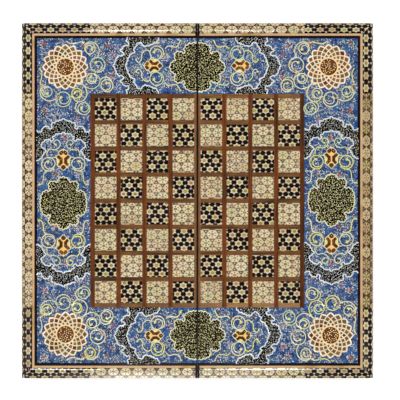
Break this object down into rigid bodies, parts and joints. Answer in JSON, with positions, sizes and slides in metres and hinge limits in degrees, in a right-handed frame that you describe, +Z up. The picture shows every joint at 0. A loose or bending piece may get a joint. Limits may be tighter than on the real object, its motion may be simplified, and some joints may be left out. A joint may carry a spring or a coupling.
{
  "type": "folding marquetry game board",
  "caption": "Folding star-marquetry game box lying open as a chess board, with a painted floral border and a backgammon field inside its two hinged trays.",
  "frame": {"origin": "on the table, below the middle of the open board, on the hinge line", "axes": "+X across the hinge line towards the right half, +Y along the hinge line towards the back, +Z up out of the chess face"},
  "size_m": [0.4942, 0.5, 0.0397],
  "materials": {
    "plywood": "sanded plywood",
    "walnut": "oiled walnut",
    "light_khatam": "light star marquetry under clear lacquer",
    "dark_khatam": "dark star marquetry under clear lacquer",
    "redwood": "reddish brown wood under clear lacquer",
    "orange_wood": "orange wood under clear lacquer",
    "ebony": "polished ebony",
    "blue_paint": "painted panel under clear lacquer",
    "maple": "satin maple",
    "dark_inlay": "satin dark red inlay",
    "light_inlay": "satin cream inlay",
    "brass": "satin brass",
    "nickel": "satin nickel",
    "steel": "brushed steel"
  },
  "bodies": {
    "left_half": {"left_deck_panel": "plywood", "left_front_rail": "walnut", "left_back_rail": "walnut", "left_outer_rail": "walnut", "left_hinge_rail": "walnut", "left_side_veneer": "light_khatam", "left_rim_edging": "redwood", "left_front_moulding": "light_khatam", "left_back_moulding": "light_khatam", "left_outer_moulding": "light_khatam", "left_corner_mouldings": "dark_khatam", "left_moulding_end_caps": "ebony", "left_gold_line": "orange_wood", "left_ebony_line": "ebony", "left_painted_border": "blue_paint", "left_long_bars": "redwood", "left_cross_bars": "redwood", "left_dark_squares": "dark_khatam", "left_light_squares": "light_khatam", "left_lining": "maple", "left_dark_points": "dark_inlay", "left_light_points": "light_inlay", "left_hinge_leaves": "brass", "left_hinge_screws": "brass", "left_magnet_studs": "nickel", "left_steel_cups": "steel", "hinge_pins": "steel"},
    "right_half": {"right_deck_panel": "plywood", "right_front_rail": "walnut", "right_back_rail": "walnut", "right_outer_rail": "walnut", "right_hinge_rail": "walnut", "right_side_veneer": "light_khatam", "right_rim_edging": "redwood", "right_front_moulding": "light_khatam", "right_back_moulding": "light_khatam", "right_outer_moulding": "light_khatam", "right_corner_mouldings": "dark_khatam", "right_moulding_end_caps": "ebony", "right_gold_line": "orange_wood", "right_ebony_line": "ebony", "right_painted_border": "blue_paint", "right_long_bars": "redwood", "right_cross_bars": "redwood", "right_dark_squares": "dark_khatam", "right_light_squares": "light_khatam", "right_lining": "maple", "right_dark_points": "dark_inlay", "right_light_points": "light_inlay", "right_hinge_leaves": "brass", "right_hinge_screws": "brass", "right_magnet_studs": "nickel", "right_steel_cups": "steel"}
  },
  "joints": [
    {"name": "fold_hinge", "type": "hinge", "parent": "left_half", "child": "right_half", "pos_m": [0, 0, 0.0015], "axis": [0, 1, 0], "range_deg": [0, 180]}
  ]
}
